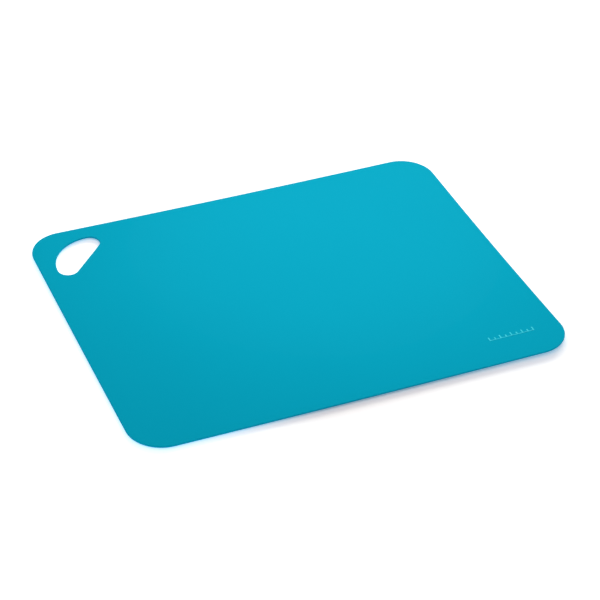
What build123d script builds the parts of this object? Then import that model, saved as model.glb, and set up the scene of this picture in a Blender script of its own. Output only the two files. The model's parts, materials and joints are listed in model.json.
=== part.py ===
from build123d import *
import os
from math import radians, tan

# Flexible cutting mat. The origin is under the middle of the sheet, on the surface it lies on.
# X runs along the long side, Y towards the far long edge, Z up. The hole is across the corner
# at low X and high Y. All lengths are in millimetres and all angles in degrees.

# The sheet
sheet_length = 380
sheet_width = 305
sheet_thickness = 1.5
corner_radius = 30
edge_radius = 0.4

# The hang hole is a D across one corner: an arc towards the corner and a straight side away from
# it, with both ends rounded. Its middle is measured along the corner's diagonal, and it sits a
# little to one side of that diagonal and leans a little.
hole_from_corner = 50.2
hole_depth = 26.5
hole_arc_radius = 39
hole_end_radius = 9
hole_shift = 1.3
hole_turn = 1.8
corner_diagonal = 45

# Bend lines. A stiff length at each end, one in the middle, and equal narrow ones between them.
end_length = 85
centre_length = 50
strips_per_side = 5
bend_per_line = 15
bend_clearance = 0.1

# The printed scale, in ink of a real thickness, near the corner opposite the hole. A tick each half
# centimetre stands on a base line, and each second one is long.
tick_pitch = 5
tick_count = 9
tick_width = 1
long_tick = 4.4
short_tick = 3
base_line_width = 0.5
ink_thickness = 0.1
scale_from_right_edge = 25
scale_from_front_edge = 30

# One overrun serves all cuts
overrun = 5

# Worked out from the sizes above
half_length = sheet_length / 2
half_width = sheet_width / 2
half_centre = centre_length / 2
end_bend = half_length - end_length
strip_pitch = (end_bend - half_centre) / strips_per_side
# The upper corners of two neighbours swing towards each other as they bend about mid-thickness
bend_gap = sheet_thickness * tan(radians(bend_per_line / 2)) + bend_clearance
bend_lines = [half_centre + step * strip_pitch for step in range(strips_per_side + 1)]


def hole_outline():
    """The D of the hole, as a face on the ground plane in its place across the corner."""
    straight_side = hole_from_corner + hole_depth / 2
    arc_centre = hole_from_corner - hole_depth / 2 + hole_arc_radius
    beyond = 2 * hole_arc_radius + overrun
    # drawn with the corner at the origin and its diagonal along X
    disc = Pos(arc_centre, 0) * Circle(hole_arc_radius)
    away_side = Pos(straight_side + beyond / 2, 0) * Rectangle(beyond, beyond)
    d_shape = fillet((disc - away_side).vertices(), hole_end_radius)
    leaning = Pos(hole_from_corner, -hole_shift) * Rot(0, 0, hole_turn) * Pos(-hole_from_corner, 0)
    into_corner = Pos(-half_length, half_width) * Rot(0, 0, -corner_diagonal)
    return into_corner * leaning * d_shape


def whole_sheet():
    """The unbent sheet with its hole, all its edges rounded."""
    outline = RectangleRounded(sheet_length, sheet_width, corner_radius) - hole_outline()
    sheet = extrude(outline, sheet_thickness)
    rims = sheet.faces().sort_by(Axis.Z)[0].edges() + sheet.faces().sort_by(Axis.Z)[-1].edges()
    return fillet(rims, edge_radius)


def length_of_sheet(sheet, start, end):
    """The part of the sheet between two places along X."""
    cutter = Box(end - start, sheet_width + 2 * overrun, sheet_thickness + 2 * overrun)
    return sheet & Pos((start + end) / 2, 0, sheet_thickness / 2) * cutter


def printed_scale():
    """A row of plain ticks on a base line, printed on the upper face."""
    row_length = (tick_count - 1) * tick_pitch
    right_tick = half_length - scale_from_right_edge
    base_y = scale_from_front_edge - half_width
    standing = (Align.CENTER, Align.MIN, Align.MIN)
    base_line = Box(row_length + tick_width, base_line_width, ink_thickness, align=standing)
    marks = Pos(right_tick - row_length / 2, base_y, sheet_thickness) * base_line
    for place in range(tick_count):
        height = short_tick if place % 2 else long_tick
        tick = Box(tick_width, height, ink_thickness, align=standing)
        marks += Pos(right_tick - place * tick_pitch, base_y, sheet_thickness) * tick
    return marks


def main():
    """Make every piece and write each one to its own file."""
    sheet = whole_sheet()
    half_gap = bend_gap / 2
    pieces = {"centre_strip": length_of_sheet(sheet, half_gap - half_centre, half_centre - half_gap)}
    for number in range(strips_per_side):
        near = bend_lines[number] + half_gap
        far = bend_lines[number + 1] - half_gap
        pieces[f"left_strip_{number + 1}"] = length_of_sheet(sheet, -far, -near)
        pieces[f"right_strip_{number + 1}"] = length_of_sheet(sheet, near, far)
    pieces["left_end_panel"] = length_of_sheet(sheet, -half_length - overrun, -end_bend - half_gap)
    pieces["right_end_panel"] = length_of_sheet(sheet, end_bend + half_gap, half_length + overrun)
    pieces["printed_scale"] = printed_scale()
    os.makedirs("parts", exist_ok=True)
    for name, piece in pieces.items():
        export_step(piece, f"parts/{name}.step")


main()
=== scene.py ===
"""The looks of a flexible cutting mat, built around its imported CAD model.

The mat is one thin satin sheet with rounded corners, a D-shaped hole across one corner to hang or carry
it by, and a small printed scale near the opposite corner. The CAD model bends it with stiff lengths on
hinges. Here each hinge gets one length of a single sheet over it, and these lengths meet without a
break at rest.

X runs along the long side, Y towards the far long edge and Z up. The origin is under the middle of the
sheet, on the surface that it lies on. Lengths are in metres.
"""
from __future__ import annotations

import json
import logging
import math
from dataclasses import dataclass
from enum import Enum
from typing import ClassVar

import bmesh
import bpy
import numpy as np
from mathutils import Matrix, Vector

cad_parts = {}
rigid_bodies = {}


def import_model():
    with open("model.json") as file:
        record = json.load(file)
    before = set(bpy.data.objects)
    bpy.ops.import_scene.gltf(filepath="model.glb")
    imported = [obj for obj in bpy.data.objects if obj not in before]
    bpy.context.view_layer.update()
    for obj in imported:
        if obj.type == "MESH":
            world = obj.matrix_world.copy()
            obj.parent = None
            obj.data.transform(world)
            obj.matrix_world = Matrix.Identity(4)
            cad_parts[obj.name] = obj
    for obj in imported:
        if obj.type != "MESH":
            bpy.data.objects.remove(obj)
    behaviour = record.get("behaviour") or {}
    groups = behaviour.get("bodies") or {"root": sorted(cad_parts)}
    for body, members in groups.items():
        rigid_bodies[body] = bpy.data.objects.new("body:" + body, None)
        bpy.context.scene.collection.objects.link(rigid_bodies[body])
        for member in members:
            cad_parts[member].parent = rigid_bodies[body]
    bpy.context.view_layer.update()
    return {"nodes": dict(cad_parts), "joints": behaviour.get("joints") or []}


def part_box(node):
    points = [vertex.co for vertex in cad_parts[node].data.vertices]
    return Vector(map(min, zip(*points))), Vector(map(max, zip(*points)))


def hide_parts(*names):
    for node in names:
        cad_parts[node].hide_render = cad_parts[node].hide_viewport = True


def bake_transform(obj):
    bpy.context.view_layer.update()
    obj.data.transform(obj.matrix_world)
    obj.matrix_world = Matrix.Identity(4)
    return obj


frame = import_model()

log = logging.getLogger("cutting_mat")

Pair = tuple[float, float]
Triple = tuple[float, float, float]

PHOTO_SIDE = 600            # pixels
SENSOR_WIDTH = 36.0         # millimetres, as Blender gives it
WELD_DISTANCE = 1e-6
COUNT_SLACK = 1e-6          # share of a step that may be left over
SHARP_ANGLE = 40.0          # degrees
FLAT_PLACE = "flat_place"   # attribute: where a point lies while the sheet is flat


class Side(Enum):
    """The two ends of the mat, each with its direction along X."""

    LEFT = -1
    RIGHT = 1


class Slot(Enum):
    """The record's material slots."""

    SHEET = "sheet"
    INK = "ink"


def spaced(start: float, end: float, step: float) -> np.ndarray:
    """Evenly spaced values from start to end, no further apart than a step.

    Args:
        start: first value.
        end: last value.
        step: largest distance between two values.

    Returns:
        The values, both ends included.
    """
    return np.linspace(start, end, math.ceil((end - start) / step - COUNT_SLACK) + 1)


def level(plan: np.ndarray, height: float) -> np.ndarray:
    """A flat surface: each point of a plan grid at one height.

    Args:
        plan: grid of X and Y.
        height: Z of all points.

    Returns:
        Grid of X, Y and Z.
    """
    return np.concatenate([plan, np.full((*plan.shape[:-1], 1), height)], axis=-1)


def carry(path: np.ndarray, outward: np.ndarray, section: np.ndarray) -> np.ndarray:
    """A section carried along a path.

    Point (i, k) is path point i, moved along its own outward direction by the first value of section
    point k, at the height of its second value.

    Args:
        path: X and Y of each path point.
        outward: unit direction at each path point.
        section: outward distance and height of each section point.

    Returns:
        Grid of X, Y and Z, a row for each path point.
    """
    plan = path[:, None] + outward[:, None] * section[None, :, :1]
    height = np.broadcast_to(section[:, 1:], (*plan.shape[:2], 1))
    return np.concatenate([plan, height], axis=-1)


def rule(first: np.ndarray, second: np.ndarray, steps: int = 1) -> np.ndarray:
    """A ruled surface: straight lines between two curves.

    Point (k, i) lies on the line from point i of the first curve to point i of the second, at share
    k / steps of its length.

    Args:
        first: points of the first curve.
        second: as many points of the second curve.
        steps: parts that each line is cut into.

    Returns:
        Grid of points, a row for each share.
    """
    share = np.linspace(0, 1, steps + 1)[:, None, None]
    return first + share * (second - first)


def turned(points: np.ndarray, degrees: float) -> np.ndarray:
    """Points or directions in the plan, turned anticlockwise about the origin.

    Args:
        points: rows of X and Y.
        degrees: angle of the turn.

    Returns:
        The turned rows.
    """
    cosine, sine = math.cos(math.radians(degrees)), math.sin(math.radians(degrees))
    return points @ np.array([[cosine, sine], [-sine, cosine]])


def cells(grid: np.ndarray, first: int) -> np.ndarray:
    """The four corners of each cell of a grid.

    Args:
        grid: grid of points, which are numbered row by row.
        first: number of its first point.

    Returns:
        The numbers of four points for each cell, in order round it.
    """
    index = first + np.arange(grid[..., 0].size).reshape(grid.shape[:2])
    corners = [index[:-1, :-1], index[1:, :-1], index[1:, 1:], index[:-1, 1:]]
    return np.stack(corners, axis=-1).reshape(-1, 4)


def closed_mesh(name: str, grids: list[np.ndarray]) -> bpy.types.Mesh:
    """One mesh from surfaces that together enclose a solid.

    Points that lie together are merged, the faces are turned outwards, and edges between faces that
    meet at a steep angle are kept sharp.

    Args:
        name: name of the mesh.
        grids: grids of X, Y and Z that share their border points.

    Returns:
        The mesh, with its flat places kept as an attribute.
    """
    points = np.concatenate([grid.reshape(-1, 3) for grid in grids])
    firsts = np.cumsum([0, *(grid[..., 0].size for grid in grids[:-1])])
    faces = np.concatenate([cells(grid, first) for grid, first in zip(grids, firsts)])
    _, kept, merged = np.unique(
        np.round(points / WELD_DISTANCE), axis=0, return_index=True, return_inverse=True
    )
    mesh = bpy.data.meshes.new(name)
    mesh.from_pydata(points[kept].tolist(), [], merged.ravel()[faces].tolist())
    shell = bmesh.new()
    shell.from_mesh(mesh)
    bmesh.ops.recalc_face_normals(shell, faces=shell.faces)
    shell.to_mesh(mesh)
    shell.free()
    mesh.shade_smooth()
    mesh.set_sharp_from_angle(angle=math.radians(SHARP_ANGLE))
    place = mesh.attributes.new(FLAT_PLACE, "FLOAT_VECTOR", "POINT")
    place.data.foreach_set("vector", points[kept].ravel())
    return mesh


@dataclass(frozen=True)
class EdgeSection:
    """The section of the sheet's edge: a flat margin, a round shoulder, a wall, and the same below.

    Attributes:
        thickness: height of the upper face over the underside.
        radius: of each shoulder.
        margin: flat strip that keeps the shoulder's shading off the wide face.
        steps: facets in each shoulder.
    """

    thickness: float
    radius: float = 0.0004
    margin: float = 0.0004
    steps: int = 6

    @property
    def inset(self) -> float:
        """Distance from the wide face's border out to the wall."""
        return self.margin + self.radius

    def upper(self) -> np.ndarray:
        """The section's upper half.

        Over a quarter turn from straight up to straight out, the distance is the margin plus the radius
        times the sine, and the height is the thickness less the radius times one minus the cosine.

        Returns:
            Distance outwards from the wide face's border and height, for each point.
        """
        turn = np.linspace(0, math.pi / 2, self.steps + 1)
        outward = self.margin + self.radius * np.sin(turn)
        height = self.thickness - self.radius * (1 - np.cos(turn))
        return np.column_stack([np.r_[0, outward], np.r_[self.thickness, height]])

    def lower(self) -> np.ndarray:
        """The upper half's mirror image, in the same order, from the underside out to the wall."""
        return self.upper() * [1, -1] + [0, self.thickness]

    def whole(self) -> np.ndarray:
        """The whole section, from the upper face round to the underside."""
        return np.vstack([self.upper(), self.lower()[::-1]])


@dataclass(frozen=True)
class HangHole:
    """The D-shaped hole across a corner: a wide arc towards it, a straight side away, rounded ends.

    Attributes:
        corner: where the sheet's two edges would meet.
        middle_from_corner: along the corner's diagonal.
        depth: across the D, along the diagonal.
        arc_radius: of the wide arc.
        end_radius: of the two ends.
        shift: of the middle to one side of the diagonal.
        turn_degrees: of the D against the diagonal.
        diagonal_degrees: of the diagonal against X.
        stretch_samples: points on each of the four stretches of the outline.
    """

    corner: Pair
    middle_from_corner: float = 0.0502
    depth: float = 0.0265
    arc_radius: float = 0.039
    end_radius: float = 0.009
    shift: float = -0.0013
    turn_degrees: float = 1.8
    diagonal_degrees: float = -45.0
    stretch_samples: int = 300

    @property
    def middle(self) -> np.ndarray:
        """The middle of the D, on the plan of the sheet."""
        along = np.array([self.middle_from_corner, self.shift])
        return np.array(self.corner) + turned(along, self.diagonal_degrees)

    def outline(self) -> tuple[np.ndarray, np.ndarray]:
        """The outline and the directions in which it faces, away from the hole's middle.

        Each point is a centre plus a radius times a direction. Along the straight side the centre slides
        from one end's centre to the other's, and on the three arcs the direction turns instead.

        Returns:
            Points and unit directions, anticlockwise.
        """
        end_x = self.depth / 2 - self.end_radius
        wide_x = self.arc_radius - self.depth / 2
        end_y = math.sqrt((self.arc_radius - self.end_radius) ** 2 - (wide_x - end_x) ** 2)
        shoulder = math.atan2(end_y, end_x - wide_x)
        near, far, wide = np.array([[end_x, -end_y], [end_x, end_y], [wide_x, 0]])
        share = np.linspace(0, 1, self.stretch_samples)
        sliding = near + share[:, None] * (far - near)
        centres = [sliding, *(np.tile(centre, (len(share), 1)) for centre in (far, wide, near))]
        radii = np.repeat([self.end_radius, self.end_radius, self.arc_radius, self.end_radius], len(share))
        turns = np.array([0, shoulder, 2 * math.pi - shoulder, 2 * math.pi])
        angle = np.concatenate([share * 0, *(a + share * (b - a) for a, b in zip(turns, turns[1:]))])
        facing = np.column_stack([np.cos(angle), np.sin(angle)])
        drawn = np.concatenate(centres) + radii[:, None] * facing
        lean = self.turn_degrees + self.diagonal_degrees
        return self.middle + turned(drawn, lean), turned(facing, lean)

    def seen_towards(self, places: np.ndarray) -> tuple[np.ndarray, np.ndarray]:
        """The points of the outline in the directions of some places, seen from the hole's middle.

        Args:
            places: points on the plan, round the hole.

        Returns:
            Points of the outline and the directions in which it faces there.
        """
        points, facing = self.outline()
        around = np.arctan2(*(points - self.middle).T[::-1])
        wanted = np.arctan2(*(places - self.middle).T[::-1])
        both = np.concatenate([points, facing], axis=1)
        found = np.column_stack([np.interp(wanted, around, c, period=2 * math.pi) for c in both.T])
        return found[:, :2], found[:, 2:] / np.linalg.norm(found[:, 2:], axis=1, keepdims=True)


@dataclass(frozen=True)
class Lines:
    """Straight lines across the sheet, one for each column of a grid on its wide face.

    Attributes:
        along: distance of each line from the sheet's middle, towards one end.
        reach: half the length of each line.
        turn: how far the outline beside each line has turned away from the long edge, in radians.
    """

    along: np.ndarray
    reach: np.ndarray
    turn: np.ndarray


@dataclass(frozen=True)
class Bend:
    """One hinge of the CAD model and the length of sheet over it.

    Attributes:
        side: the end of the mat that it belongs to.
        number: counted from the middle.
        bodies: the hinge's inner and outer body.
        hinge: distance of the hinge from the middle.
        start: distance of the length's inner seam from the middle.
        end: distance of its outer seam, or of the mat's end.
        pitch: distance between hinges.
        outermost: the length runs to the mat's end.
    """

    side: Side
    number: int
    bodies: tuple[str, str]
    hinge: float
    start: float
    end: float
    pitch: float
    outermost: bool

    @property
    def name(self) -> str:
        """The piece's name."""
        side = self.side.name.lower()
        return f"{side}_end" if self.outermost else f"{side}_bend_{self.number}"

    def apply(self, piece: bpy.types.Object) -> None:
        """Bake the piece's placement into its mesh.

        Args:
            piece: finished object at rest.
        """
        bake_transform(piece)


def bends_of(side: Side, half_length: float) -> list[Bend]:
    """The bends of one end, from the middle outwards, with their seams halfway between the hinges.

    Args:
        side: which end.
        half_length: distance from the middle to the mat's end.

    Returns:
        One bend for each hinge.
    """
    joints = [joint for joint in frame["joints"] if joint["pos_m"][0] * side.value > 0]
    joints.sort(key=lambda joint: abs(joint["pos_m"][0]))
    hinges = [abs(joint["pos_m"][0]) for joint in joints]
    pitch = hinges[1] - hinges[0]
    seams = [0.0, *(hinge + pitch / 2 for hinge in hinges[:-1]), half_length]
    return [
        Bend(side, place + 1, (joint["parent"], joint["child"]), hinges[place], seams[place],
             seams[place + 1], pitch, place == len(joints) - 1)
        for place, joint in enumerate(joints)
    ]


@dataclass(frozen=True)
class Sheet:
    """The mat itself: one thin sheet, made as one length for each hinge.

    Attributes:
        half_length: from the middle to each short edge.
        half_width: from the middle to each long edge.
        edge: section of the edge.
        hole: the hole across the corner at low X and high Y.
        corner_radius: of the four corners.
        end_curl: height of the short edges over the middle.
        end_curl_backwards: how much more the short edges rise towards the back.
        side_curl: height of the long edges over the middle.
        side_curl_rightwards: how much more the long edges rise towards the right.
        step: between grid lines where the sheet bends.
        fine_step: between grid lines round the hole.
        wide_step: between grid lines elsewhere.
        seam_step: between a seam and the line beside it.
        corner_steps: lines in each rounded corner.
        hole_clearance: from the hole to the grid round it.
        hole_rings: rings of faces between the hole and that grid.
    """

    half_length: float
    half_width: float
    edge: EdgeSection
    hole: HangHole
    corner_radius: float = 0.030
    end_curl: float = 0.0010
    end_curl_backwards: float = 0.0003
    side_curl: float = 0.0014
    side_curl_rightwards: float = 0.0008
    step: float = 0.002
    fine_step: float = 0.0015
    wide_step: float = 0.005
    seam_step: float = 0.0004
    corner_steps: int = 24
    hole_clearance: float = 0.002
    hole_rings: int = 6

    @classmethod
    def from_frame(cls) -> Sheet:
        """The sheet in the size of the CAD model's two end panels.

        Returns:
            The sheet.
        """
        left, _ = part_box("left_end_panel")
        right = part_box("right_end_panel")[1]
        return cls(right.x, right.y, EdgeSection(right.z), HangHole((left.x, right.y)))

    def lift(self, x: np.ndarray, y: np.ndarray) -> np.ndarray:
        """How high the resting sheet curls off the surface.

        It grows with the square of the distance from both middle lines. The curl of the short edges
        grows towards the back, and the curl of the long edges towards the right.

        Args:
            x: places along the sheet.
            y: places across it.

        Returns:
            Height at each place.
        """
        along, across = x / self.half_length, y / self.half_width
        ends = (self.end_curl + self.end_curl_backwards * across) * along**2
        sides = (self.side_curl + self.side_curl_rightwards * along) * across**2
        return ends + sides

    def curl(self, mesh: bpy.types.Mesh) -> None:
        """Raise each point of a flat mesh by the lift at its place.

        Args:
            mesh: finished mesh, which is changed.
        """
        places = np.empty(len(mesh.vertices) * 3, dtype=np.float32)
        mesh.vertices.foreach_get("co", places)
        places = places.reshape(-1, 3)
        places[:, 2] += self.lift(places[:, 0], places[:, 1])
        mesh.vertices.foreach_set("co", places.ravel())
        mesh.update()

    def hole_frame(self) -> tuple[np.ndarray, np.ndarray]:
        """The hole's box on the plan, with the clearance round it.

        Returns:
            Its lowest and its highest corner.
        """
        points, _ = self.hole.outline()
        around = self.edge.inset + self.hole_clearance
        return points.min(axis=0) - around, points.max(axis=0) + around

    def rows(self) -> np.ndarray:
        """Where the lines along the sheet stand, closer together beside the hole.

        Returns:
            Distances from the middle line, as shares of the half width.
        """
        reach = self.half_width - self.edge.inset
        low, high = (corner[1] for corner in self.hole_frame())
        before = spaced(-reach, low, self.wide_step)
        beside = spaced(low, high, self.fine_step)
        beyond = spaced(high, reach, self.wide_step)
        return np.concatenate([before, beside[1:], beyond[1:]]) / reach

    def straight_lines(self, start: float, end: float, step: float) -> Lines:
        """Evenly spaced lines where the sheet has its full width.

        Args:
            start: distance of the first line from the middle.
            end: distance of the last line.
            step: largest distance between two lines.

        Returns:
            The lines.
        """
        along = spaced(start, end, step)
        reach = self.half_width - self.edge.inset
        return Lines(along, np.full(len(along), reach), np.zeros(len(along)))

    def corner_lines(self) -> Lines:
        """Lines across a rounded end.

        As the outline turns from the long edge to the short one, the line's distance from the corner's
        centre is the radius times the sine, and it reaches past that centre by the radius times the cosine.

        Returns:
            The lines after the first, up to the sheet's end.
        """
        turn = np.linspace(0, math.pi / 2, self.corner_steps + 1)[1:]
        radius = self.corner_radius - self.edge.inset
        along = self.half_length - self.corner_radius + radius * np.sin(turn)
        reach = self.half_width - self.corner_radius + radius * np.cos(turn)
        return Lines(along, reach, turn)

    def lines(self, bend: Bend) -> Lines:
        """All lines of one length of sheet, from its inner seam outwards.

        Args:
            bend: which length.

        Returns:
            The lines, with a close pair at each seam.
        """
        if bend.outermost:
            last = self.half_length - self.corner_radius
            hole_near = -self.hole_frame()[1][0]
            stretches = [
                self.straight_lines(bend.start, bend.start + self.seam_step, self.seam_step),
                self.straight_lines(bend.start + self.seam_step, hole_near, self.step),
                self.straight_lines(hole_near, last, self.fine_step),
                self.corner_lines(),
            ]
        else:
            inner, outer = bend.start + self.seam_step, bend.end - self.seam_step
            stretches = [
                self.straight_lines(bend.start, inner, self.seam_step),
                self.straight_lines(inner, outer, self.step),
                self.straight_lines(outer, bend.end, self.seam_step),
            ]
        along = np.concatenate([lines.along for lines in stretches])
        reach = np.concatenate([lines.reach for lines in stretches])
        turn = np.concatenate([lines.turn for lines in stretches])
        _, kept = np.unique(np.round(along / WELD_DISTANCE), return_index=True)
        return Lines(along[kept], reach[kept], turn[kept])

    def round_hole(self, plan: np.ndarray) -> tuple[list[np.ndarray], np.ndarray, np.ndarray]:
        """The wide face with the hole in it.

        The cells over the hole are left out. A ruled face runs from the hole's border to the lines
        round the gap, each point towards the one that is seen behind it from the hole's middle.

        Args:
            plan: grid of the wide face, from the inner seam to the mat's end.

        Returns:
            Plan grids of the face, the border of the face at the hole, and the way into the hole there.
        """
        low, high = self.hole_frame()
        near = np.searchsorted(-plan[:, 0, 0], -high[0] - WELD_DISTANCE)
        far = np.searchsorted(-plan[:, 0, 0], -low[0])
        below = np.searchsorted(plan[0, :, 1], low[1] - WELD_DISTANCE)
        above = np.searchsorted(plan[0, :, 1], high[1] - WELD_DISTANCE)
        across = plan[near:far + 1]
        gap = across[:, below:above + 1]
        around = np.concatenate([gap[:-1, 0], gap[-1, :-1], gap[:0:-1, -1], gap[0, ::-1]])
        wall, outward = self.hole.seen_towards(around)
        border = wall + outward * self.edge.inset
        ring = rule(border, around, self.hole_rings)
        beside = [plan[:near + 1], plan[far:], across[:, :below + 1], across[:, above:]]
        return [*beside, ring], border, -outward

    def surfaces(self, bend: Bend) -> list[np.ndarray]:
        """All surfaces of one length of sheet, flat: both wide faces, the edges, and a cap at each seam.

        Point (i, j) of a wide face is line i's distance from the middle, and row j's share of its reach.

        Args:
            bend: which length.

        Returns:
            Grids of points that enclose the length.
        """
        lines = self.lines(bend)
        sign = bend.side.value
        along = np.broadcast_to(sign * lines.along[:, None], (len(lines.along), len(self.rows())))
        plan = np.stack([along, lines.reach[:, None] * self.rows()], axis=-1)
        forward = np.column_stack([sign * np.sin(lines.turn), -np.cos(lines.turn)])
        front = carry(plan[:, 0], forward, self.edge.whole())
        back = carry(plan[:, -1], forward * [1, -1], self.edge.whole())
        rims = [front, back]
        faces = [plan]
        capped = [0, -1]
        if bend.outermost:
            outward = np.tile([float(sign), 0.0], (plan.shape[1], 1))
            rims.append(carry(plan[-1], outward, self.edge.whole()))
            capped = [0]
        if bend.outermost and bend.side is Side.LEFT:
            faces, border, inward = self.round_hole(plan)
            rims.append(carry(border, inward, self.edge.whole()))
        wide = [level(face, height) for face in faces for height in (self.edge.thickness, 0.0)]
        caps = [self.cap(plan[line], front[line], back[line]) for line in capped]
        return [*wide, *rims, *caps]

    def cap(self, line: np.ndarray, front: np.ndarray, back: np.ndarray) -> np.ndarray:
        """The flat face that closes a length at a seam, ruled between its upper and its lower border.

        Args:
            line: plan points of the wide faces' border at the seam.
            front: section points of the front edge there.
            back: section points of the back edge there.

        Returns:
            Grid of two rows.
        """
        half = len(front) // 2
        upper = np.vstack([front[half - 1:0:-1], level(line, self.edge.thickness), back[1:half]])
        lower = np.vstack([front[half:-1], level(line, 0.0), back[-2:half - 1:-1]])
        return rule(upper, lower)

    def covers(self, bend: Bend) -> list[str]:
        """The CAD model's lengths of sheet that one length here stands for.

        Args:
            bend: which length.

        Returns:
            The names of their nodes.
        """
        ends = sorted(bend.side.value * place for place in (bend.start, bend.end))
        boxes = {name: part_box(name) for name in frame["nodes"] if name != PrintedScale.node}
        return [
            name for name, (low, high) in boxes.items()
            if low.x < ends[1] - WELD_DISTANCE and high.x > ends[0] + WELD_DISTANCE
        ]

    def build(self, finish: bpy.types.Material) -> list[bpy.types.Object]:
        """Make and dress every length of the sheet and put it in the scene.

        Args:
            finish: material of the sheet.

        Returns:
            The pieces.
        """
        pieces = []
        for bend in (bend for side in Side for bend in bends_of(side, self.half_length)):
            mesh = closed_mesh(bend.name, self.surfaces(bend))
            self.curl(mesh)
            pieces.append(add_piece(mesh, finish, self.covers(bend)))
            bend.apply(pieces[-1])
        return pieces


def add_piece(
    mesh: bpy.types.Mesh, finish: bpy.types.Material, replaced: list[str]
) -> bpy.types.Object:
    """Put a finished mesh in the scene as a piece of the mat.

    Args:
        mesh: the piece's mesh, which gives it its name.
        finish: its material.
        replaced: CAD nodes that the piece stands for.

    Returns:
        The piece.
    """
    mesh.materials.append(finish)
    piece = bpy.data.objects.new(mesh.name, mesh)
    bpy.context.scene.collection.objects.link(piece)
    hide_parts(*replaced)
    log.info("%s: %d faces, stands for %s", piece.name, len(mesh.polygons), ", ".join(replaced))
    return piece


@dataclass(frozen=True)
class PrintedScale:
    """The printed mark: plain ticks on a base line, in a film of ink that follows the sheet's curl.

    Attributes:
        low: lowest corner of the print.
        high: highest corner.
        ticks: how many, each second one long.
        tick_width: along the base line.
        short_tick: height of the short ones.
        base_width: width of the base line.
        node: name of the print's CAD node.
    """

    low: Vector
    high: Vector
    ticks: int = 9
    tick_width: float = 0.001
    short_tick: float = 0.003
    base_width: float = 0.0005

    node: ClassVar[str] = "printed_scale"

    @classmethod
    def from_frame(cls) -> PrintedScale:
        """The print in the place and size of its CAD node."""
        return cls(*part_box(cls.node))

    def surfaces(self) -> list[np.ndarray]:
        """The flat print: upper and lower faces of the base line and the ticks, and one wall round them.

        Returns:
            Grids of points that enclose the film.
        """
        lefts = np.linspace(self.low.x, self.high.x - self.tick_width, self.ticks)
        sides = np.column_stack([lefts, lefts + self.tick_width])
        base_top = self.low.y + self.base_width
        tops = np.where(np.arange(self.ticks) % 2, self.low.y + self.short_tick, self.high.y)
        plans = [self.grid(sides.ravel(), (self.low.y, base_top))]
        plans += [self.grid(pair, (base_top, top)) for pair, top in zip(sides, tops)]
        below = plans[0][:, 0]
        foot = np.full(self.ticks, base_top)
        rights = sides[:, 1]
        corners = [(rights, foot), (rights, tops), (lefts, tops), (lefts, foot)]
        teeth = np.stack([np.column_stack(corner) for corner in corners], axis=1)[::-1].reshape(-1, 2)
        around = np.vstack([below, teeth, below[:1]])
        heights = (self.high.z, self.low.z)
        wall = np.stack([level(around, height) for height in heights], axis=1)
        return [*(level(plan, height) for plan in plans for height in heights), wall]

    @staticmethod
    def grid(xs: np.ndarray, ys: Pair) -> np.ndarray:
        """The plan grid of all pairs of X and Y."""
        return np.stack(np.meshgrid(xs, ys, indexing="ij"), axis=-1)

    def build(self, sheet: Sheet, finish: bpy.types.Material) -> bpy.types.Object:
        """Make and dress the print and put it in the scene.

        Args:
            sheet: the sheet that it lies on and curls with.
            finish: material of the ink.

        Returns:
            The piece.
        """
        mesh = closed_mesh(self.node, self.surfaces())
        sheet.curl(mesh)
        piece = add_piece(mesh, finish, [self.node])
        bends_of(Side.RIGHT, sheet.half_length)[-1].apply(piece)
        return piece


def new_node(tree: bpy.types.NodeTree, kind: str, **settings: object) -> bpy.types.Node:
    """Add a node to a tree and set its own settings.

    Args:
        tree: node tree.
        kind: Blender's name of the node's type.
        **settings: values by the name of each property.

    Returns:
        The node.
    """
    node = tree.nodes.new(kind)
    for key, value in settings.items():
        setattr(node, key, value)
    return node


@dataclass(frozen=True)
class SatinGrain:
    """The fine grain of a moulded satin face and the faint cloudiness of its colour, as a node group.

    Attributes:
        name: of the node group.
        detail: octaves of the grain.
        cloud_detail: octaves of the clouds.
        roughness: share that each finer octave keeps.
    """

    name: str = "satin_grain"
    detail: float = 3.0
    cloud_detail: float = 1.0
    roughness: float = 0.6

    def group(self) -> bpy.types.NodeTree:
        """Build the group: a place and two sizes in, a grain and a cloud mask out.

        Returns:
            The node group.
        """
        tree = bpy.data.node_groups.new(self.name, "ShaderNodeTree")
        sockets = [
            ("Place", "INPUT", "NodeSocketVector"),
            ("Grain Size", "INPUT", "NodeSocketFloat"),
            ("Cloud Size", "INPUT", "NodeSocketFloat"),
            ("Grain", "OUTPUT", "NodeSocketFloat"),
            ("Cloud", "OUTPUT", "NodeSocketFloat"),
        ]
        for name, way, kind in sockets:
            tree.interface.new_socket(name, in_out=way, socket_type=kind)
        inputs = new_node(tree, "NodeGroupInput")
        outputs = new_node(tree, "NodeGroupOutput")
        for result, detail in (("Grain", self.detail), ("Cloud", self.cloud_detail)):
            fineness = new_node(tree, "ShaderNodeMath", operation="DIVIDE")
            fineness.inputs[0].default_value = 1.0
            tree.links.new(inputs.outputs[f"{result} Size"], fineness.inputs[1])
            noise = new_node(tree, "ShaderNodeTexNoise", noise_dimensions="3D")
            noise.inputs["Detail"].default_value = detail
            noise.inputs["Roughness"].default_value = self.roughness
            tree.links.new(inputs.outputs["Place"], noise.inputs["Vector"])
            tree.links.new(fineness.outputs[0], noise.inputs["Scale"])
            tree.links.new(noise.outputs["Fac"], outputs.inputs[result])
        return tree


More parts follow.
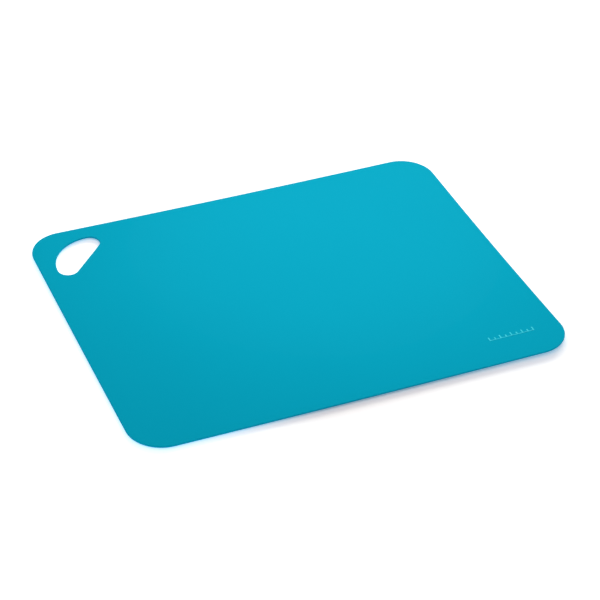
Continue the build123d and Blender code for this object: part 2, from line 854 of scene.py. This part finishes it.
@dataclass(frozen=True)
class SatinFinish:
    """A satin plastic or ink: one colour with faint clouds, and a fine grain that breaks up its sheen.

    Attributes:
        name: of the material.
        colour: linear base colour.
        cloud_colour: linear colour of the faint clouds.
        roughness: from the smoothest to the roughest grain.
        specular: the shader's specular level.
        specular_tint: linear colour of the sheen seen from straight above.
        grain_size: across one grain.
        grain_depth: of the relief.
        grain_strength: share of that depth that shows.
        cloud_size: across one cloud.
    """

    name: str
    colour: Triple
    cloud_colour: Triple
    roughness: Pair
    specular: float
    specular_tint: Triple
    grain_size: float
    grain_depth: float
    grain_strength: float
    cloud_size: float

    def material(self, grain: bpy.types.NodeTree) -> bpy.types.Material:
        """Build the material around the shared grain group.

        Args:
            grain: the satin grain's node group.

        Returns:
            The material.
        """
        made = bpy.data.materials.new(self.name)
        made.use_nodes = True
        tree = made.node_tree
        shader = tree.nodes["Principled BSDF"]
        shader.inputs["Specular IOR Level"].default_value = self.specular
        shader.inputs["Specular Tint"].default_value = (*self.specular_tint, 1)
        place = new_node(tree, "ShaderNodeAttribute", attribute_name=FLAT_PLACE)
        pattern = new_node(tree, "ShaderNodeGroup", node_tree=grain)
        pattern.inputs["Grain Size"].default_value = self.grain_size
        pattern.inputs["Cloud Size"].default_value = self.cloud_size
        tree.links.new(place.outputs["Vector"], pattern.inputs["Place"])
        colour = new_node(tree, "ShaderNodeMix", data_type="RGBA")
        colour.inputs["A"].default_value = (*self.colour, 1)
        colour.inputs["B"].default_value = (*self.cloud_colour, 1)
        tree.links.new(pattern.outputs["Cloud"], colour.inputs["Factor"])
        tree.links.new(colour.outputs["Result"], shader.inputs["Base Color"])
        sheen = new_node(tree, "ShaderNodeMapRange")
        sheen.inputs["To Min"].default_value = self.roughness[0]
        sheen.inputs["To Max"].default_value = self.roughness[1]
        tree.links.new(pattern.outputs["Grain"], sheen.inputs["Value"])
        tree.links.new(sheen.outputs["Result"], shader.inputs["Roughness"])
        relief = new_node(tree, "ShaderNodeBump")
        relief.inputs["Strength"].default_value = self.grain_strength
        relief.inputs["Distance"].default_value = self.grain_depth
        tree.links.new(pattern.outputs["Grain"], relief.inputs["Height"])
        tree.links.new(relief.outputs["Normal"], shader.inputs["Normal"])
        return made


SHEET_FINISH = SatinFinish(
    name="satin_polypropylene",
    colour=(0.0, 0.378, 0.572),
    cloud_colour=(0.0, 0.391, 0.584),
    roughness=(0.50, 0.62),
    specular=0.04,
    specular_tint=(0.0, 0.8, 1.0),
    grain_size=0.0006,
    grain_depth=0.00003,
    grain_strength=0.5,
    cloud_size=0.09,
)
INK_FINISH = SatinFinish(
    name="pale_ink",
    colour=(0.06, 0.77, 0.93),
    cloud_colour=(0.04, 0.71, 0.88),
    roughness=(0.45, 0.60),
    specular=0.10,
    specular_tint=(1.0, 1.0, 1.0),
    grain_size=0.0004,
    grain_depth=0.00002,
    grain_strength=0.5,
    cloud_size=0.004,
)


@dataclass(frozen=True)
class Panel:
    """A wide soft light that stands upright and faces the mat.

    Attributes:
        azimuth: degrees round the mat, from straight behind it towards its right.
        distance: of its foot from the middle of the mat.
        lowest: degrees above the horizon of its lower edge, seen from the middle of the mat.
        highest: of its upper edge.
        width: of the panel.
        power: in watts.
        colour: linear colour.
    """

    azimuth: float = 30.0
    distance: float = 1.5
    lowest: float = 12.0
    highest: float = 30.0
    width: float = 1.6
    power: float = 36.0
    colour: Triple = (1.0, 1.0, 0.86)

    def build(self) -> None:
        """Stand the light up: its middle is over its foot, halfway between its lower and upper edge."""
        side = math.radians(self.azimuth)
        angles = (math.radians(edge) for edge in (self.lowest, self.highest))
        foot, top = (self.distance * math.tan(angle) for angle in angles)
        away = Vector((math.sin(side), math.cos(side), 0))
        lamp = bpy.data.lights.new("back_panel", "AREA")
        lamp.shape = "RECTANGLE"
        lamp.size, lamp.size_y = self.width, top - foot
        lamp.energy = self.power
        lamp.color = self.colour
        holder = bpy.data.objects.new(lamp.name, lamp)
        holder.location = away * self.distance + Vector((0, 0, (foot + top) / 2))
        holder.rotation_mode = "QUATERNION"
        holder.rotation_quaternion = (-away).to_track_quat("-Z", "Y")
        holder.visible_glossy = False
        bpy.context.scene.collection.objects.link(holder)


@dataclass(frozen=True)
class Spot:
    """A soft-edged spot light straight over the mat.

    Attributes:
        place: of the light.
        half_angle: degrees from the middle of its cone to its edge.
        softness: share of the cone over which it fades.
        radius: of the lamp.
        power: in watts.
        colour: linear colour.
    """

    place: Triple = (0.047, 0.061, 1.55)
    half_angle: float = 9.7
    softness: float = 0.95
    radius: float = 0.1
    power: float = 15.0
    colour: Triple = (1.0, 1.0, 0.98)

    def build(self) -> None:
        """Hang the light up. A lamp that isn't turned faces straight down."""
        lamp = bpy.data.lights.new("top_spot", "SPOT")
        lamp.spot_size = math.radians(2 * self.half_angle)
        lamp.spot_blend = self.softness
        lamp.shadow_soft_size = self.radius
        lamp.energy = self.power
        lamp.color = self.colour
        holder = bpy.data.objects.new(lamp.name, lamp)
        holder.location = self.place
        bpy.context.scene.collection.objects.link(holder)


@dataclass(frozen=True)
class Surroundings:
    """Soft light from all round, most from nearly straight above, with a white backdrop for the camera.

    Attributes:
        colour: linear colour of the light.
        strength: of the light from the brightest direction. It falls evenly to none from the opposite.
        brightest: degrees of that direction above the horizon behind the mat.
    """

    colour: Triple = (1.0, 0.855, 0.862)
    strength: float = 0.69
    brightest: float = 75.0

    def build(self) -> None:
        """Make the scene's world. Reflections don't see it."""
        world = bpy.data.worlds.new("surroundings")
        bpy.context.scene.world = world
        world.use_nodes = True
        world.cycles_visibility.glossy = False
        tree = world.node_tree
        soft = tree.nodes["Background"]
        soft.inputs["Color"].default_value = (*self.colour, 1)
        height = math.radians(self.brightest)
        direction = new_node(tree, "ShaderNodeTexCoord")
        towards = new_node(tree, "ShaderNodeVectorMath", operation="DOT_PRODUCT")
        towards.inputs[1].default_value = (0, math.cos(height), math.sin(height))
        tree.links.new(direction.outputs["Generated"], towards.inputs[0])
        level_there = new_node(tree, "ShaderNodeMapRange")
        level_there.inputs["From Min"].default_value = -1.0
        level_there.inputs["To Max"].default_value = self.strength
        tree.links.new(towards.outputs["Value"], level_there.inputs["Value"])
        tree.links.new(level_there.outputs["Result"], soft.inputs["Strength"])
        backdrop = new_node(tree, "ShaderNodeBackground")
        backdrop.inputs["Color"].default_value = (1, 1, 1, 1)
        ray = new_node(tree, "ShaderNodeLightPath")
        either = new_node(tree, "ShaderNodeMixShader")
        tree.links.new(ray.outputs["Is Camera Ray"], either.inputs["Fac"])
        tree.links.new(soft.outputs["Background"], either.inputs[1])
        tree.links.new(backdrop.outputs["Background"], either.inputs[2])
        tree.links.new(either.outputs["Shader"], tree.nodes["World Output"].inputs["Surface"])


@dataclass(frozen=True)
class PaintedGlow:
    """Glow painted on the table as emission, growing towards one side: painted light that lightens the
    shade there.

    Attributes:
        strength: where it is whole.
        side: degrees of that side, anticlockwise from the mat's right.
        fade: distance from the middle towards that side where it starts and where it is whole.
    """

    strength: float
    side: float
    fade: Pair


@dataclass(frozen=True)
class Floor:
    """A white shooting table with painted light: its emission is painted by place, more beside the mat than
    under it, and most far from it.

    Attributes:
        half_side: half the side of the table.
        whiteness: share of the light that it gives back.
        glow_colour: linear colour of the painted glow.
        glow: strength of the painted glow under the mat.
        side_glows: what is added towards some sides of the mat.
        far_glow: strength that is added away from the mat.
        far_fade: distance from the middle where that starts and where it is whole.
    """

    half_side: float = 5.0
    whiteness: float = 0.93
    glow_colour: Triple = (0.75, 1.0, 1.15)
    glow: float = 0.175
    side_glows: tuple[PaintedGlow, ...] = (
        PaintedGlow(0.35, 190.0, (0.05, 0.17)),
        PaintedGlow(0.06, -20.0, (0.06, 0.18)),
        PaintedGlow(0.16, -90.0, (0.156, 0.178)),
    )
    far_glow: float = 0.4
    far_fade: Pair = (0.17, 0.4)

    def build(self) -> None:
        """Lay the table under the mat."""
        plan = [(-1, -1), (1, -1), (1, 1), (-1, 1)]
        mesh = bpy.data.meshes.new("floor")
        corners = [(x * self.half_side, y * self.half_side, 0) for x, y in plan]
        mesh.from_pydata(corners, [], [tuple(range(len(corners)))])
        mesh.materials.append(self.material())
        floor = bpy.data.objects.new("floor", mesh)
        bpy.context.scene.collection.objects.link(floor)

    def material(self) -> bpy.types.Material:
        """The table's white sheet, with its glow painted by place as emission: painted light.

        Returns:
            The material.
        """
        made = bpy.data.materials.new("table_white")
        made.use_nodes = True
        tree = made.node_tree
        shader = tree.nodes["Principled BSDF"]
        shader.inputs["Base Color"].default_value = (*[self.whiteness] * 3, 1)
        shader.inputs["Roughness"].default_value = 1.0
        shader.inputs["Specular IOR Level"].default_value = 0.0
        # Painted light: emission painted on the table by place lifts the shade beside the mat.
        shader.inputs["Emission Color"].default_value = (*self.glow_colour, 1)
        place = new_node(tree, "ShaderNodeTexCoord").outputs["Object"]
        away = new_node(tree, "ShaderNodeVectorMath", operation="LENGTH")
        tree.links.new(place, away.inputs[0])
        levels = (self.glow, self.glow + self.far_glow)
        total = self.fade(tree, away.outputs["Value"], self.far_fade, levels)
        for glow in self.side_glows:
            towards = new_node(tree, "ShaderNodeVectorMath", operation="DOT_PRODUCT")
            side = math.radians(glow.side)
            towards.inputs[1].default_value = (math.cos(side), math.sin(side), 0)
            tree.links.new(place, towards.inputs[0])
            added = self.fade(tree, towards.outputs["Value"], glow.fade, (0, glow.strength))
            both = new_node(tree, "ShaderNodeMath", operation="ADD")
            tree.links.new(total, both.inputs[0])
            tree.links.new(added, both.inputs[1])
            total = both.outputs[0]
        tree.links.new(total, shader.inputs["Emission Strength"])
        return made

    @staticmethod
    def fade(
        tree: bpy.types.NodeTree, value: bpy.types.NodeSocket, over: Pair, levels: Pair
    ) -> bpy.types.NodeSocket:
        """Go smoothly from one level to another while a value crosses a stretch.

        Args:
            tree: node tree.
            value: socket of the value.
            over: the stretch's start and end.
            levels: before it and after it.

        Returns:
            The level's socket.
        """
        node = new_node(tree, "ShaderNodeMapRange", interpolation_type="SMOOTHSTEP")
        node.inputs["From Min"].default_value, node.inputs["From Max"].default_value = over
        node.inputs["To Min"].default_value, node.inputs["To Max"].default_value = levels
        tree.links.new(value, node.inputs["Value"])
        return node.outputs["Result"]


@dataclass(frozen=True)
class Viewpoint:
    """The photograph's camera.

    Attributes:
        elevation: degrees above the horizon.
        azimuth: degrees round the mat, from straight in front of its long edge.
        roll: degrees of the picture's turn.
        distance: from the target.
        target: point on the ground that it looks at.
        focal_pixels: focal length in pixels of the photograph.
    """

    elevation: float = 36.392
    azimuth: float = -23.579
    roll: float = 1.586
    distance: float = 1.71668
    target: Pair = (0.00236, -0.01087)
    focal_pixels: float = 2039.9

    def build(self) -> None:
        """Set up the camera: its own axes are right, up and back, turned by the roll."""
        height, side, tilt = (math.radians(a) for a in (self.elevation, self.azimuth, self.roll))
        outwards = Vector((math.sin(side), -math.cos(side), 0))
        back = outwards * math.cos(height) + Vector((0, 0, math.sin(height)))
        right = Vector((math.cos(side), math.sin(side), 0))
        up = back.cross(right)
        tilted_right = right * math.cos(tilt) + up * math.sin(tilt)
        tilted_up = up * math.cos(tilt) - right * math.sin(tilt)
        axes = Matrix((tilted_right, tilted_up, back)).transposed().to_4x4()
        place = Vector((*self.target, 0)) + back * self.distance
        lens = bpy.data.cameras.new("photo_camera")
        lens.sensor_width = SENSOR_WIDTH
        lens.lens = self.focal_pixels * SENSOR_WIDTH / PHOTO_SIDE
        camera = bpy.data.objects.new(lens.name, lens)
        camera.matrix_world = Matrix.Translation(place) @ axes
        bpy.context.scene.collection.objects.link(camera)
        bpy.context.scene.camera = camera


@dataclass(frozen=True)
class Studio:
    """The table that the mat lies on, the lights and the camera."""

    floor: Floor = Floor()
    surroundings: Surroundings = Surroundings()
    back_panel: Panel = Panel()
    top_spot: Spot = Spot()
    viewpoint: Viewpoint = Viewpoint()

    def build(self) -> None:
        """Set everything up. Colours are shown as they are, as in a product photograph."""
        for part in (self.floor, self.surroundings, self.back_panel, self.top_spot, self.viewpoint):
            part.build()
        bpy.context.scene.view_settings.view_transform = "Standard"


def main() -> None:
    """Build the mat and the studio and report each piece."""
    logging.basicConfig(level=logging.INFO, format="%(name)s: %(message)s")
    grain = SatinGrain().group()
    sheet = Sheet.from_frame()
    sheet.build(SHEET_FINISH.material(grain))
    PrintedScale.from_frame().build(sheet, INK_FINISH.material(grain))
    Studio().build()


if __name__ == "__main__":
    main()
